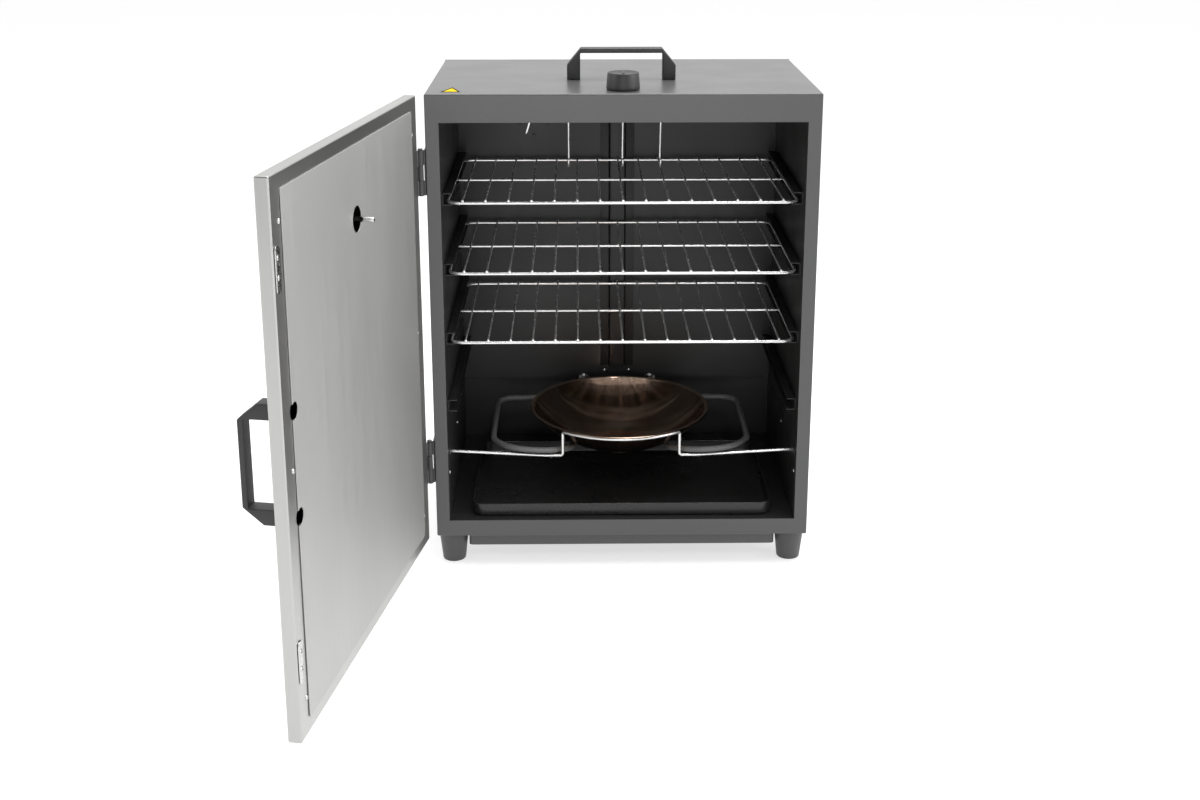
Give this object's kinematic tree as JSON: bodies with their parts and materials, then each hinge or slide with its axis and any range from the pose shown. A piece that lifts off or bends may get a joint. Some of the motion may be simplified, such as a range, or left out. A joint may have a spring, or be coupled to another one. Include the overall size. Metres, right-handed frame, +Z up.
{
  "type": "electric smoking and drying cabinet",
  "caption": "Upright electric smoking and drying cabinet with a hinged steel door, slide-in wire racks, meat hooks, a chip bowl over a looped heater, and a drip tray.",
  "frame": {"origin": "centre of the base pan's flat underside, midway between the case's sides and between its front and back", "axes": "+Z up, +Y from the open door side towards the rear cover, +X to the right as seen from the door side"},
  "size_m": [0.5187, 0.6648, 0.5483],
  "materials": {
    "case_paint": "fine-textured dark grey powder coat",
    "stainless": "brushed",
    "liner_steel": "satin, darkened",
    "chrome_wire": "polished",
    "black_plastic": "satin moulded",
    "rubber": "matte",
    "hinge_steel": "satin black",
    "bowl_steel": "polished, heat tinted",
    "heater_sheath": "dark oxidised",
    "tray_enamel": "satin enamel",
    "dial_glass": "clear",
    "needle_red": "satin"
  },
  "bodies": {
    "cabinet": {"outer_case": "case_paint", "rear_cover": "case_paint", "base_pan": "case_paint", "inner_liner": "liner_steel", "wiring_channel": "liner_steel", "vent_collar": "liner_steel", "rail_left_1": "liner_steel", "rail_left_2": "liner_steel", "rail_left_3": "liner_steel", "rail_left_4": "liner_steel", "rail_right_1": "liner_steel", "rail_right_2": "liner_steel", "rail_right_3": "liner_steel", "rail_right_4": "liner_steel", "foot_front_left": "rubber", "foot_front_right": "rubber", "foot_rear_left": "rubber", "foot_rear_right": "rubber", "bowl_carrier_front": "chrome_wire", "bowl_carrier_rear": "chrome_wire", "hanging_rod": "stainless", "sensor_probe": "stainless", "heater_nut_left": "stainless", "heater_nut_right": "stainless", "thermostat_body": "stainless", "top_handle": "black_plastic", "power_inlet": "black_plastic", "hinge_leaf_case_lower": "hinge_steel", "hinge_leaf_case_upper": "hinge_steel", "hinge_pin_lower": "hinge_steel", "hinge_pin_upper": "hinge_steel", "heating_element": "heater_sheath"},
    "door": {"door_outer_panel": "stainless", "door_inner_panel": "stainless", "door_handle": "black_plastic", "door_handle_screw_lower": "stainless", "door_handle_screw_upper": "stainless", "door_catch_lower": "stainless", "door_catch_upper": "stainless", "hinge_leaf_door_lower": "hinge_steel", "hinge_leaf_door_upper": "hinge_steel", "thermometer_case": "stainless", "thermometer_glass": "dial_glass", "thermometer_nut": "stainless", "thermometer_stem": "stainless"},
    "needle": {"thermometer_needle": "needle_red"},
    "knob": {"thermostat_knob": "black_plastic"},
    "top_rack": {"rack_top": "chrome_wire"},
    "middle_rack": {"rack_middle": "chrome_wire"},
    "lower_rack": {"rack_lower": "chrome_wire"},
    "tray": {"drip_tray": "tray_enamel"},
    "bowl": {"chip_bowl": "bowl_steel"},
    "shutter": {"vent_shutter": "stainless"},
    "hook_1": {"s_hook_1": "chrome_wire"},
    "hook_2": {"s_hook_2": "chrome_wire"},
    "hook_3": {"s_hook_3": "chrome_wire"}
  },
  "joints": [
    {"name": "door_hinge", "type": "hinge", "parent": "cabinet", "child": "door", "pos_m": [-0.205, -0.1315, 0.256], "axis": [0, 0, -1], "range_deg": [-100, 80]},
    {"name": "needle_turn", "type": "hinge", "parent": "door", "child": "needle", "pos_m": [-0.25409, -0.33101, 0.4165], "axis": [-0.9848, 0.1736, 0], "range_deg": [-135, 135]},
    {"name": "thermostat_turn", "type": "hinge", "parent": "cabinet", "child": "knob", "pos_m": [0, -0.101, 0.496], "axis": [0, 0, -1], "range_deg": [0, 270]},
    {"name": "top_rack_slide", "type": "slide", "parent": "cabinet", "child": "top_rack", "axis": [0, -1, 0], "range_m": [0, 0.19]},
    {"name": "middle_rack_slide", "type": "slide", "parent": "cabinet", "child": "middle_rack", "axis": [0, -1, 0], "range_m": [0, 0.19]},
    {"name": "lower_rack_slide", "type": "slide", "parent": "cabinet", "child": "lower_rack", "axis": [0, -1, 0], "range_m": [0, 0.19]},
    {"name": "tray_slide", "type": "slide", "parent": "cabinet", "child": "tray", "axis": [0, -1, 0], "range_m": [0, 0.15]},
    {"name": "bowl_lift", "type": "slide", "parent": "cabinet", "child": "bowl", "axis": [0, 0, 1], "range_m": [0, 0.08]},
    {"name": "vent_turn", "type": "hinge", "parent": "cabinet", "child": "shutter", "pos_m": [-0.0975, 0.121, 0.433], "axis": [0, -1, 0], "range_deg": [0, 90]},
    {"name": "hook_1_swing", "type": "hinge", "parent": "cabinet", "child": "hook_1", "pos_m": [-0.0565, -0.007, 0.452], "axis": [1, 0, 0], "range_deg": [-25, 25]},
    {"name": "hook_2_swing", "type": "hinge", "parent": "cabinet", "child": "hook_2", "pos_m": [0.0024, -0.007, 0.452], "axis": [1, 0, 0], "range_deg": [-25, 25]},
    {"name": "hook_3_swing", "type": "hinge", "parent": "cabinet", "child": "hook_3", "pos_m": [0.0435, -0.007, 0.452], "axis": [1, 0, 0], "range_deg": [-25, 25]}
  ]
}
